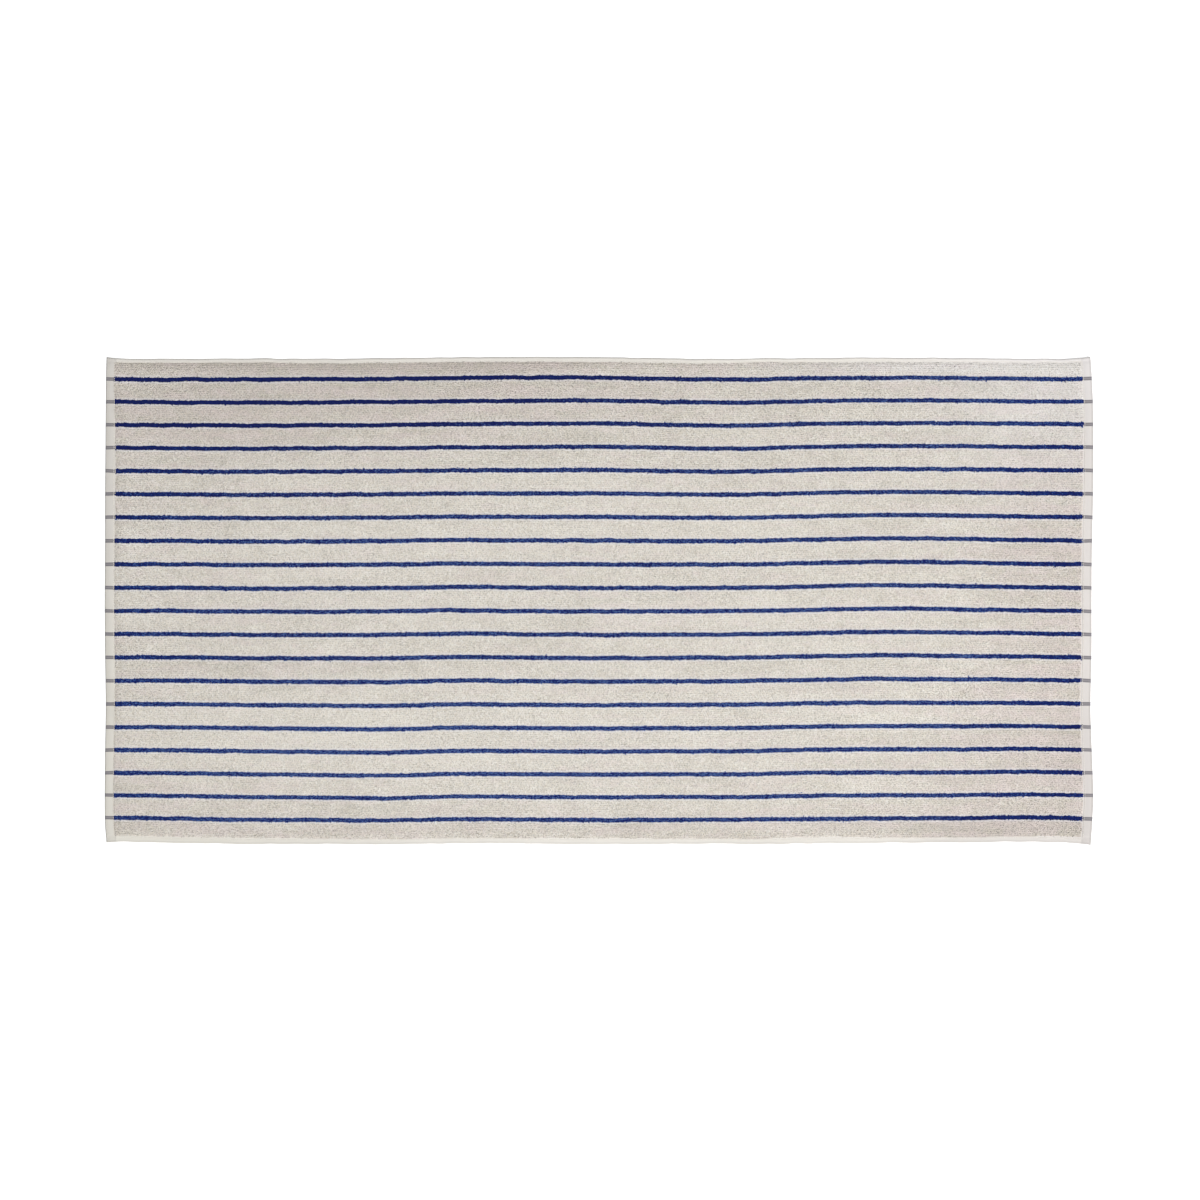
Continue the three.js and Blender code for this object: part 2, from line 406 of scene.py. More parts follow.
# For each hem: a place along it, and how much further in than usual its pile begins there.
HEM_CREEP = {
    "left": [(-344, -1.0), (-190, -1.2), (-100, 0.0), (60, 0.0), (150, 1.0), (235, 0.4), (300, -1.8)],
    "right": [(-344, 1.0), (-250, 2.0), (-60, 1.6), (0, 1.2), (130, 2.0), (250, 0.6), (344, 0.4)],
    "near": [(-700, 0.0), (-280, -0.7), (60, -0.5), (180, -1.3), (310, 0.1), (450, -1.1), (700, -0.2)],
    "far": [(-700, -0.7), (-420, -0.5), (-100, -0.1), (100, -0.2), (250, -0.7), (340, -0.3), (700, -0.6)],
}


def from_edge(hem_name, hem, distance, place):
    """The distance in from an edge, counted so that the pile always begins at the hem's width."""
    creep = np.array(HEM_CREEP[hem_name], float)
    return distance * hem / (hem + curve_through(creep[:, 0], creep[:, 1], place))


def from_edges(u, v):
    """The distance in from the nearer end, from the far edge and from the near edge."""
    left = from_edge("left", END_HEM, HALF_LENGTH + u, v)
    right = from_edge("right", END_HEM, HALF_LENGTH - u, v)
    far = from_edge("far", FAR_HEM, HALF_WIDTH - v, u)
    near = from_edge("near", NEAR_HEM, HALF_WIDTH + v, u)
    return np.minimum(left, right), far, near


END_PROFILE = hem_profile(END_SEAM, END_HEM)
FAR_PROFILE = hem_profile(FAR_SEAM, FAR_HEM)
NEAR_PROFILE = hem_profile(NEAR_SEAM, NEAR_HEM)
CELL = 5.5
CLUMP_SIZE, CLUMP_HEIGHT = 9, 0.28


def clumps(u, v, layer=0):
    """The pile leans together in clumps, and stands higher in one and lower in the next."""
    return soft_noise(u, v, CLUMP_SIZE, CLUMP_SIZE, layer)


def face_height(u, v):
    """The height of the cloth's upper face: the lowest that the profiles give at each place."""
    end, far, near = from_edges(u, v)
    sides = np.minimum(np.interp(far, *FAR_PROFILE.T), np.interp(near, *NEAR_PROFILE.T))
    return np.minimum(np.interp(end, *END_PROFILE.T), sides)


def face_slope(u, v, reach=0.8):
    """How much the face rises along the towel and across it, for each millimetre."""
    along = face_height(u + reach, v) - face_height(u - reach, v)
    across = face_height(u, v + reach) - face_height(u, v - reach)
    return along / (2 * reach), across / (2 * reach)


def in_terry(u, v, margin=0.0):
    """True where the cloth has pile, at least margin in from the hems."""
    end, far, near = from_edges(u, v)
    return (end > END_HEM + margin) & (far > FAR_HEM + margin) & (near > NEAR_HEM + margin)


def grid_lines(low_profile, high_profile, half):
    """Lines at every row of the two profiles, and evenly spaced ones between them."""
    low = -half + low_profile[:, 0]
    high = half - high_profile[::-1, 0]
    cells = round((high[0] - low[-1]) / CELL)
    return np.concatenate([low[:-1], np.linspace(low[-1], high[0], cells + 1), high[1:]])


print("the face is", face_height(np.zeros(1), np.zeros(1))[0], "mm high away from the hems")

# %% Make the sheet
def only(piece):
    """Deselects everything but this piece, so that an operator acts on nothing else."""
    bpy.ops.object.select_all(action="DESELECT")
    piece.select_set(True)
    bpy.context.view_layer.objects.active = piece


u_lines = grid_lines(END_PROFILE, END_PROFILE, HALF_LENGTH)
v_lines = grid_lines(NEAR_PROFILE, FAR_PROFILE, HALF_WIDTH)
columns, rows = len(u_lines) - 1, len(v_lines) - 1

bpy.ops.object.select_all(action="DESELECT")
bpy.ops.mesh.primitive_grid_add(x_subdivisions=columns, y_subdivisions=rows, size=2)
cloth = bpy.context.object
cloth.name = cloth.data.name = "terry_cloth"
thicken = cloth.modifiers.new("underside", "SOLIDIFY")
thicken.thickness = 1
thicken.offset = -1
bpy.ops.object.modifier_apply(modifier=thicken.name)

# The rim gets a middle line, which rounds the turned edge.
bpy.ops.object.mode_set(mode="EDIT")
bpy.ops.mesh.select_mode(type="EDGE")
bpy.ops.mesh.select_all(action="DESELECT")
bpy.ops.object.mode_set(mode="OBJECT")
height = vertex_places(cloth.data)[:, 2]
for edge in cloth.data.edges:
    low, high = height[edge.vertices[0]], height[edge.vertices[1]]
    edge.select = bool(abs(high - low) > 0.5)
bpy.ops.object.mode_set(mode="EDIT")
bpy.ops.mesh.subdivide(number_cuts=1)
bpy.ops.object.mode_set(mode="OBJECT")
print("cloth", columns, "by", rows, "cells,", 2 * len(cloth.data.polygons), "triangles")

# %% Shape the sheet
# A point of the new grid is told by its column, its row and its layer: 0 is the face, 1 the
# middle line of the rim and 2 the underside.
RIM_INSET, RIM_RISE = 0.45, 0.4
UNDERSIDE_RISE = 0.12

start = vertex_places(cloth.data)
u = u_lines[np.rint((start[:, 0] + 1) / 2 * columns).astype(int)]
v = v_lines[np.rint((start[:, 1] + 1) / 2 * rows).astype(int)]
layer = np.rint(-start[:, 2] * 2).astype(int)
on_end, on_side = np.abs(u) == HALF_LENGTH, np.abs(v) == HALF_WIDTH
inset = np.where(layer == 1, 0, RIM_INSET)
face = face_height(u, v)
pile_here = np.where(in_terry(u, v, 1), CLUMP_HEIGHT, 0)
face += pile_here * clumps(u, v)
under = np.where(in_terry(u, v, 1), UNDERSIDE_RISE * (clumps(u, v, 7) + 1), 0)
level = np.choose(layer, [face + np.where(on_end | on_side, RIM_RISE, 0), face, under])
flat_cloth = np.column_stack([
    u - np.where(on_end, np.sign(u) * inset, 0),
    v - np.where(on_side, np.sign(v) * inset, 0),
    level,
])
cloth.data.vertices.foreach_set("co", flat_cloth.ravel())
cloth.data.update()
print("height of the cloth before it is laid out", round(level.max(), 2), "mm")

# %% [markdown]
# ## A flat map of the cloth
# To bake a surface into an image, every part of it needs a place of its own on a map. The cloth
# is nearly flat, so Blender's automatic unwrap isn't needed: its face takes the upper half of a
# square, and its underside the lower half. The hems are narrow but hold the finest lines, so
# they get more room than their share.

# %% Map of the cloth
HEM_SHARE = 0.05
SLOPE_BESIDE_HEM = 3


def spread_on_map(place, half, low_hem, high_hem):
    """From 0 to 1 over the cloth, with a share of the room for each hem and the slope beside it."""
    low, high = low_hem + SLOPE_BESIDE_HEM, high_hem + SLOPE_BESIDE_HEM
    stops = [-half, -half + low, half - high, half]
    return np.interp(place, stops, [0, HEM_SHARE, 1 - HEM_SHARE, 1])


def add_map(piece, corner_places):
    """A map on which each corner of each face has its place."""
    piece.data.uv_layers.new(name="OFBake").uv.foreach_set("vector", corner_places.ravel())


def corner_points(mesh):
    """The number of the point at each corner of each face."""
    points = np.empty(len(mesh.loops), int)
    mesh.loops.foreach_get("vertex_index", points)
    return points


at_corner = corner_points(cloth.data)
sides = np.empty(len(cloth.data.polygons), int)
cloth.data.polygons.foreach_get("loop_total", sides)
deepest = np.maximum.reduceat(layer[at_corner], np.cumsum(sides) - sides)
is_face = np.repeat(deepest < 2, sides)
map_u = spread_on_map(flat_cloth[at_corner, 0], HALF_LENGTH, END_HEM, END_HEM)
map_v = spread_on_map(flat_cloth[at_corner, 1], HALF_WIDTH, NEAR_HEM, FAR_HEM)
add_map(cloth, np.column_stack([0.01 + 0.98 * map_u, 0.01 + 0.48 * map_v + 0.5 * is_face]))
print(int((deepest < 2).sum()), "faces on the upper half of the map")

# %% [markdown]
# ## The pile
# The loops are the towel's surface, so they are real geometry. Each is a few millimetres of
# yarn standing out of the mass of the pile, and from any distance only its rounded top shows.
# A loop of bent tube would need dozens of faces, and there are a hundred thousand loops, so the
# top of one loop is modelled once, as a low tuft on a lozenge base, and Geometry Nodes copies
# it to the places where the loops are woven. The loom sets them in rows along the towel, and
# washing turns, tilts and crowds them, so each copy has a turn, a size and a tone of its own.
# A loop on a higher clump also gets a lighter tone, which is painted light.
# The natural loops are split into three bands along the towel, to keep each piece light.

# %% One tuft
bpy.ops.object.select_all(action="DESELECT")
bpy.ops.mesh.primitive_cone_add(vertices=4, radius1=1, radius2=0, depth=1, location=(0, 0, 0.5))
tuft = bpy.context.object
tuft.name = tuft.data.name = "tuft"
bpy.ops.object.transform_apply(location=True, rotation=True, scale=True)
print("tuft", len(tuft.data.vertices), "points", len(tuft.data.polygons), "faces")

# %% A helper that adds one node
def add_node(tree, kind, inputs=None, **settings):
    """Adds a node with its settings. Each input is set to a value, or linked to a socket, or to
    the first output in use of another node."""
    node = tree.nodes.new(kind)
    for name, value in settings.items():
        setattr(node, name, value)
    for name, value in (inputs or {}).items():
        if isinstance(value, bpy.types.Node):
            value = next(output for output in value.outputs if output.enabled)
        if isinstance(value, bpy.types.NodeSocket):
            tree.links.new(value, node.inputs[name])
        else:
            node.inputs[name].default_value = value
    return node


# %% Copies of one shape on many points
def copies_on_points(name, template):
    """A node tree that puts a copy of the template on each point, turned and sized by the point."""
    tree = bpy.data.node_groups.new(name, "GeometryNodeTree")
    tree.interface.new_socket("Geometry", in_out="INPUT", socket_type="NodeSocketGeometry")
    tree.interface.new_socket("Geometry", in_out="OUTPUT", socket_type="NodeSocketGeometry")
    points = add_node(tree, "NodeGroupInput")
    shape = add_node(tree, "GeometryNodeObjectInfo", {"Object": template})
    turn, size = (
        add_node(tree, "GeometryNodeInputNamedAttribute", {"Name": each}, data_type="FLOAT_VECTOR")
        for each in ("turn", "size")
    )
    copies = add_node(tree, "GeometryNodeInstanceOnPoints", {
        "Points": points.outputs[0],
        "Instance": shape.outputs["Geometry"],
        "Rotation": turn.outputs["Attribute"],
        "Scale": size.outputs["Attribute"],
    })
    real = add_node(tree, "GeometryNodeRealizeInstances", {"Geometry": copies})
    smooth = add_node(tree, "GeometryNodeSetShadeSmooth", {"Geometry": real})
    add_node(tree, "NodeGroupOutput", {0: smooth})
    return tree


def spread_copies(name, template, places, turns, sizes, tones):
    """A piece made of copies of the template: one for each place, in millimetres."""
    mesh = bpy.data.meshes.new(name)
    mesh.from_pydata(places, [], [])
    for attribute, kind, field, values in (
        ("turn", "FLOAT_VECTOR", "vector", turns),
        ("size", "FLOAT_VECTOR", "vector", sizes),
        ("centre", "FLOAT_VECTOR", "vector", places),
        ("tone", "FLOAT", "value", tones),
    ):
        mesh.attributes.new(attribute, kind, "POINT").data.foreach_set(field, np.ravel(values))
    piece = bpy.data.objects.new(name, mesh)
    bpy.context.scene.collection.objects.link(piece)
    only(piece)
    spread = piece.modifiers.new("spread", "NODES")
    spread.node_group = copies_on_points(name, template)
    bpy.ops.object.modifier_apply(modifier=spread.name)
    for attribute in ("turn", "size"):
        if attribute in piece.data.attributes:
            piece.data.attributes.remove(piece.data.attributes[attribute])
    # Realizing the copies leaves an empty material slot behind.
    piece.data.materials.clear()
    triangles = sum(len(face.vertices) - 2 for face in piece.data.polygons)
    print(name, len(places), "copies,", triangles, "triangles")
    return piece


def attribute_vectors(piece, name):
    """The named attribute of a piece, a row of three for each point."""
    vectors = np.empty(len(piece.data.vertices) * 3)
    piece.data.attributes[name].data.foreach_get("vector", vectors)
    return vectors.reshape(-1, 3)

# %% [markdown]
# ## A map of the pile
# The tufts need a place on a map too, and all of them stand side by side, so an automatic unwrap
# would scatter a hundred thousand scraps. Instead the band of pile that they stand on is cut into
# a few lengths, and these are laid one above the other, which uses the square well. A tuft goes
# where its middle goes, so none is cut in two.

# %% Map of the pile
OVERHANG = 3


def map_of_bands(piece, lengths, band, middle, width):
    """A map of strips, one above the other: each band of the pile is cut into a number of lengths."""
    length = LENGTH / lengths
    part = np.floor((attribute_vectors(piece, "centre")[:, 0] + HALF_LENGTH) / length)
    u, v = vertex_places(piece.data)[:, :2].T
    along = (u + HALF_LENGTH - part * length + OVERHANG) / (length + 2 * OVERHANG)
    across = (v - middle) / width + 0.5
    strips = lengths * (np.max(band) + 1)
    places = np.column_stack([along, (band * lengths + part + across) / strips])
    add_map(piece, places[corner_points(piece.data)])
    piece.data.attributes.remove(piece.data.attributes["centre"])

# %% Where the natural loops stand
# Rows of loops fill each gap between two stripes, and a clearance beside each stripe stays free.
# The outermost gaps start on the hems, so that with their clearance the first and last rows
# stand where the pile begins. Loops that land on a hem are left out.
SEED = 20
ROW_STEP, LOOP_STEP = 2.75, 2.9
STRIPE_CLEARANCE = STRIPE_WIDTH / 2 + 1.0
ONTO_HEM = 3.8
BANDS = ("near", "middle", "far")

rng = np.random.default_rng(SEED)
near_start = -HALF_WIDTH + NEAR_HEM - ONTO_HEM
far_start = HALF_WIDTH - FAR_HEM + ONTO_HEM
edges = np.concatenate([[near_start], stripe_places, [far_start]])
loop_rows = []
for low, high in zip(edges[:-1], edges[1:]):
    count = round((high - low - 2 * STRIPE_CLEARANCE) / ROW_STEP)
    loop_rows += list(np.linspace(low + STRIPE_CLEARANCE, high - STRIPE_CLEARANCE, count + 1))
loop_columns = np.arange(-HALF_LENGTH + END_HEM - 1, HALF_LENGTH - END_HEM - 1, LOOP_STEP)
u, v = (grid.ravel() for grid in np.meshgrid(loop_columns, loop_rows))
u = u + (np.repeat(np.arange(len(loop_rows)), len(loop_columns)) % 2 - 0.5) * LOOP_STEP / 2
u = u + rng.uniform(-1.0, 1.0, len(u))
v = v + rng.uniform(-0.6, 0.6, len(v))
band = np.repeat(np.arange(len(loop_rows)) * len(BANDS) // len(loop_rows), len(loop_columns))
inside = in_terry(u, v, 0.5)
u, v, band = u[inside], v[inside], band[inside]
print(len(u), "natural loops in", len(loop_rows), "rows")

# %% Make the natural pile, in three bands along the towel
SINK = 0.35


def tufts_at(name, u, v, length, width, height, turn, lean):
    """Tufts at (u, v), sunk a little into the mass of the pile, and each a little different."""
    count = len(u)
    lump = clumps(u, v)
    places = np.column_stack([u, v, face_height(u, v) + CLUMP_HEIGHT * lump - SINK])
    rise_along, rise_across = face_slope(u, v)
    lean_x = np.arctan(rise_across) + rng.normal(0, lean, count)
    lean_y = -np.arctan(rise_along) + rng.normal(0, lean, count)
    spin = rng.normal(0, turn, count)
    # The spin comes after the lean, so the lean is first turned back by it.
    turns = np.column_stack([
        lean_x * np.cos(spin) + lean_y * np.sin(spin),
        lean_y * np.cos(spin) - lean_x * np.sin(spin),
        spin,
    ])
    sizes = rng.uniform(0.75, 1.3, (count, 3)) * [length / 2, width / 2, height]
    # Painted light: a loop on a higher clump is given a lighter tone; the rest is its own, at random.
    tones = np.clip(0.5 + 0.22 * rng.normal(size=count) + 0.35 * lump, 0, 1)
    return spread_copies(name, tuft, places, turns, sizes, tones)


natural_size = dict(length=3.6, width=2.5, height=1.25, turn=0.7, lean=0.28)
natural_piles = []
for number, name in enumerate(BANDS):
    here = band == number
    pile = tufts_at(f"natural_pile_{name}", u[here], v[here], **natural_size)
    low, high = v[here].min(), v[here].max()
    width = high - low + 2 * OVERHANG
    map_of_bands(pile, lengths=2, band=0, middle=(low + high) / 2, width=width)
    natural_piles.append(pile)

# %% Where the navy loops stand
# Each stripe is three rows of loops. It wobbles, swells and narrows along its way, and is a
# little wider at its two ends.
NAVY_ROWS = (-2.1, 0.0, 2.1)
NAVY_STEP = 2.6

u, v = [], []
for stripe in stripe_places:
    first = -HALF_LENGTH + END_HEM + rng.uniform(0.2, 2.2)
    last = HALF_LENGTH - END_HEM - rng.uniform(-1.3, 0.3)
    for row, offset in enumerate(NAVY_ROWS):
        along = np.arange(first + row % 2 * NAVY_STEP / 2, last, NAVY_STEP)
        along = along + rng.uniform(-0.5, 0.5, len(along))
        on_stripe = np.full(len(along), stripe)
        wobble = 0.6 * clumps(along * 1.3, on_stripe, 3)
        swell = 1 + 0.35 * clumps(along * 1.3, on_stripe, 5)
        swell += 0.3 * soft_noise(along, on_stripe, 45, 20, 11)
        swell += 0.2 * np.exp(-np.minimum(along - first, last - along) / 5)
        u.append(along)
        v.append(stripe + offset * swell + wobble + rng.normal(0, 0.55, len(along)))
u, v = np.concatenate(u), np.concatenate(v)
print(len(u), "navy loops in", STRIPES, "stripes")

# %% Make the navy pile
navy_size = dict(length=3.5, width=2.6, height=1.3, turn=0.45, lean=0.25)
navy_pile = tufts_at("navy_pile", u, v, **navy_size)
centre_v = attribute_vectors(navy_pile, "centre")[:, 1]
stripe = np.rint((centre_v - FIRST_STRIPE) / STRIPE_PITCH).astype(int)
map_of_bands(navy_pile, lengths=4, band=stripe, middle=stripe_places[stripe], width=12)

# %% [markdown]
# ## The stitches
# Each hem is held by a row of lock stitches in natural cotton thread. A stitch shows as a short
# plump length of thread that dives into the cloth at both ends. One is modelled from a sphere,
# drawn out along the seam, and copied along the four seams at a sewing machine's spacing.

# %% One stitch
STITCH_LENGTH, STITCH_STEP, THREAD = 2.7, 3.1, 0.75
STITCH_RISE = 0.12

bpy.ops.object.select_all(action="DESELECT")
bpy.ops.mesh.primitive_uv_sphere_add(
    segments=6, ring_count=4, radius=0.5, rotation=(0, math.pi / 2, 0)
)
stitch = bpy.context.object
stitch.name = stitch.data.name = "stitch"
bpy.ops.object.transform_apply(location=False, rotation=True, scale=True)
print("stitch", len(stitch.data.vertices), "points", len(stitch.data.polygons), "faces")

# %% Sew the four seams
end_seam = HALF_LENGTH - END_SEAM
far_seam = HALF_WIDTH - FAR_SEAM
near_seam = HALF_WIDTH - NEAR_SEAM
across = np.arange(-near_seam + STITCH_STEP, far_seam, STITCH_STEP)
along = np.arange(-end_seam + STITCH_STEP, end_seam, STITCH_STEP)
places, turns = [], []
for end in (-1, 1):
    places.append(np.column_stack([np.full(len(across), end * end_seam), across]))
    turns += [math.pi / 2] * len(across)
for seam in (-near_seam, far_seam):
    places.append(np.column_stack([along, np.full(len(along), seam)]))
    turns += [0.0] * len(along)
places = np.concatenate(places)
count = len(places)
flat_on = np.zeros(count)
turns = np.array(turns) + rng.normal(0.12, 0.05, count)
turns = np.column_stack([flat_on, flat_on, turns])
sizes = np.tile([STITCH_LENGTH, THREAD, THREAD], (count, 1)) * rng.uniform(0.92, 1.08, (count, 1))
level = face_height(*places.T) + STITCH_RISE
places = np.column_stack([places, level])
tones = rng.uniform(0, 1, count)
stitches = spread_copies("hem_stitches", stitch, places, turns, sizes, tones)
stitches.data.attributes.remove(stitches.data.attributes["centre"])

for template in (tuft, stitch):
    bpy.data.objects.remove(template)

# %% [markdown]
# ## Laying it out
# Now every piece is moved by the same function, so the loops and stitches stay where they are
# on the cloth. Its faces then point outwards, and it is shaded smooth.

# %% Lay the pieces out
piles = [*natural_piles, navy_pile]
for piece in (cloth, *piles, stitches):
    lay_out(piece)
    only(piece)
    bpy.ops.object.shade_smooth()
only(cloth)
bpy.ops.object.mode_set(mode="EDIT")
bpy.ops.mesh.select_all(action="SELECT")
bpy.ops.mesh.normals_make_consistent(inside=False)
bpy.ops.object.mode_set(mode="OBJECT")
print("laid out", [round(x, 4) for x in cloth.dimensions])

# %% [markdown]
# ## Materials
# Each is cotton, so it is rough, hardly shines, and has the soft bright edge of its fibres,
# which is the shader's sheen. What differs is the weave and the dye. All patterns read the
# attribute "flat", the place on the straight towel in metres, so they follow the cloth. Its X
# runs from the left end to the right, and its Y from the near side to the far.

# %% Colours
def linear(hex_colour):
    """An sRGB hex colour such as #D6CFC4 as linear RGBA."""
    parts = [int(hex_colour[k:k + 2], 16) / 255 for k in (1, 3, 5)]
    return (*(p / 12.92 if p <= 0.04045 else ((p + 0.055) / 1.055) ** 2.4 for p in parts), 1)


NATURAL, NATURAL_DEEP = linear("#EDEAE4"), linear("#B8B3AB")
CREAM, ROSE, LINT = linear("#D9D0C0"), linear("#E2D2D3"), linear("#E4E4EC")
NAVY, NAVY_DEEP, NAVY_FRESH = linear("#536FAB"), linear("#04175A"), linear("#063A86")
# Lit and shaded copies of each hem colour, mixed by the hems' painted light and shade.
HEM, HEM_SHADE = linear("#E4E0D9"), linear("#D2CEC7")
END_HEM_PALE, END_HEM_SHADE = linear("#D8D4CE"), linear("#C4C0BA")
HEM_ROSY, HEM_CREAM = linear("#D6CDD3"), linear("#D4D2C0")
HEM_LINE = linear("#78757A")
THREAD_PALE, THREAD_SHADE = linear("#ECE8E0"), linear("#DAD5CB")
BLACK = (0, 0, 0, 1)
print("natural cotton in linear RGB", [round(part, 3) for part in NATURAL[:3]])

# %% The finish of cotton, and two patterns
# With SMOOTH, a Map Range node rises from 0 to 1 as its input 0 goes from input 1 to input 2.
# With COLOUR, a Mix node goes from the colour of input 6 to that of input 7 by its input 0.
SMOOTH = {"interpolation_type": "SMOOTHSTEP"}
COLOUR = {"data_type": "RGBA"}
COTTON_ROUGHNESS, THREAD_ROUGHNESS = 0.92, 0.7


def cotton(name, sheen, roughness=COTTON_ROUGHNESS):
    """A material with the finish of cotton, without its colour yet."""
    material = bpy.data.materials.new(name)
    material.use_nodes = True
    tree = material.node_tree
    tree.nodes.clear()
    shader = add_node(tree, "ShaderNodeBsdfPrincipled", {
        "Roughness": roughness,
        "Specular IOR Level": 0.08,
        "Sheen Weight": sheen,
        "Sheen Roughness": 0.6,
    })
    add_node(tree, "ShaderNodeOutputMaterial", {"Surface": shader})
    return material, tree, shader


def finish(tree, shader, colour, relief, depth):
    """Gives the cotton its colour, and a relief of the given depth in millimetres."""
    bump = add_node(tree, "ShaderNodeBump", {"Height": relief, "Distance": depth * MM})
    tree.links.new(colour.outputs[2], shader.inputs["Base Color"])
    tree.links.new(bump.outputs[0], shader.inputs["Normal"])


def patches(tree, place, size_u, size_v, detail=2.0):
    """A soft noise from 0 to 1, with patches of the given size in millimetres."""
    per_metre = (1 / (size_u * MM), 1 / (size_v * MM), 1 / (size_v * MM))
    scaled = add_node(tree, "ShaderNodeVectorMath", {0: place, 1: per_metre}, operation="MULTIPLY")
    return add_node(tree, "ShaderNodeTexNoise", {"Vector": scaled, "Scale": 1.0, "Detail": detail})


def from_stripe(tree, place):
    """How far a place is from the middle of its nearest stripe, in metres."""
    across = add_node(tree, "ShaderNodeSeparateXYZ", {0: place}).outputs["Y"]
    pitch = STRIPE_PITCH * MM
    low = (FIRST_STRIPE - STRIPE_PITCH / 2) * MM
    from_low = add_node(tree, "ShaderNodeMath", {0: across, 1: low}, operation="SUBTRACT")
    pitches = add_node(tree, "ShaderNodeMath", {0: from_low, 1: pitch}, operation="DIVIDE")
    part = add_node(tree, "ShaderNodeMath", {0: pitches}, operation="FRACT")
    to_middle = add_node(tree, "ShaderNodeMath", {0: part, 1: 0.5}, operation="SUBTRACT")
    to_middle = add_node(tree, "ShaderNodeMath", {0: to_middle}, operation="ABSOLUTE")
    gap = add_node(tree, "ShaderNodeMath", {0: to_middle, 1: pitch}, operation="MULTIPLY")
    # More than half a pitch nearer than the first stripe there is none, so a metre is added.
    outside = add_node(tree, "ShaderNodeMath", {0: across, 1: low}, operation="LESS_THAN")
    return add_node(tree, "ShaderNodeMath", {0: gap, 1: outside}, operation="ADD")


print("the stripe pattern repeats every", STRIPE_PITCH, "mm")

# %% [markdown]
# ### Natural cotton loops
# Unbleached cotton is a warm grey white. The tone changes a little from loop to loop, because
# some tops catch the light and some are turned away, which is painted light, and it drifts in
# long soft streaks where a hand has brushed the nap along the towel. The pile's painted light and
# shade makes it lighter or darker by areas, and it is a little rosier where that painted shade is
# deep, towards the right end and in patches. There is paler, bluer lint beside the stripes, at
# the far margin and in the far right corner. All that could be painted, but noise and smooth
# ranges do it without an image, and can be changed by a number.

# %% Patterns of the loops
LOOP_SIZE = 1.3
GAP_HEIGHTS = (0.25, 0.65)


def loop_cells(tree, place):
    """A cell for each loop end: two chance values from 0 to 1, and its height, 1 at its top."""
    cells = add_node(tree, "ShaderNodeTexVoronoi", {
        "Vector": place,
        "Scale": 1 / (LOOP_SIZE * MM),
    }, voronoi_dimensions="2D")
    chance = add_node(tree, "ShaderNodeSeparateColor", {0: cells.outputs["Color"]}).outputs
    height = add_node(tree, "ShaderNodeMath", {0: 1.0, 1: cells}, operation="SUBTRACT")
    return chance["Red"], chance["Green"], height


def with_gap_shade(tree, colour, height, depth):
    """The colour with painted shade: darkened by depth in the gaps between the loop ends."""
    low, high = GAP_HEIGHTS
    raised = add_node(tree, "ShaderNodeMapRange", {0: height, 1: low, 2: high}, **SMOOTH)
    gap = add_node(tree, "ShaderNodeMath", {0: 1.0, 1: raised}, operation="SUBTRACT")
    dark = add_node(tree, "ShaderNodeMath", {0: gap, 1: depth}, operation="MULTIPLY")
    return add_node(tree, "ShaderNodeMix", {0: dark, 6: colour, 7: BLACK}, **COLOUR)


def pile_tone(tree, place, cell_tone):
    """From 0 to 1: the pile's painted light and shade, long streaks, soft patches, and each cell's own
    tone.
    """
    pile_shading = add_node(tree, "ShaderNodeAttribute", attribute_name="pile_shading").outputs["Fac"]
    streaks = patches(tree, place, 150, 26)
    spots = patches(tree, place, 28, 16)
    tone = add_node(tree, "ShaderNodeMath", {0: streaks, 1: 0.6, 2: -0.3}, operation="MULTIPLY_ADD")
    for part, weight, shift in ((spots, 0.64, -0.32), (pile_shading, 0.3, 0.58), (cell_tone, 0.9, -0.45)):
        each = {0: part, 1: weight, 2: shift}
        part = add_node(tree, "ShaderNodeMath", each, operation="MULTIPLY_ADD")
        tone = add_node(tree, "ShaderNodeMath", {0: tone, 1: part}, operation="ADD")
    tone.use_clamp = True
    return tone


print("loop ends", LOOP_SIZE, "mm across")

# %% The natural yarn
# How much lint two areas of the towel have, and where each starts and stops, in metres.
LINTY_AREAS = [
    dict(x_from=0.1, x_to=0.5, y_from=0.316, y_to=0.328, share=0.6),
    dict(x_from=0.38, x_to=0.68, y_from=0.08, y_to=0.32, share=0.55),
]


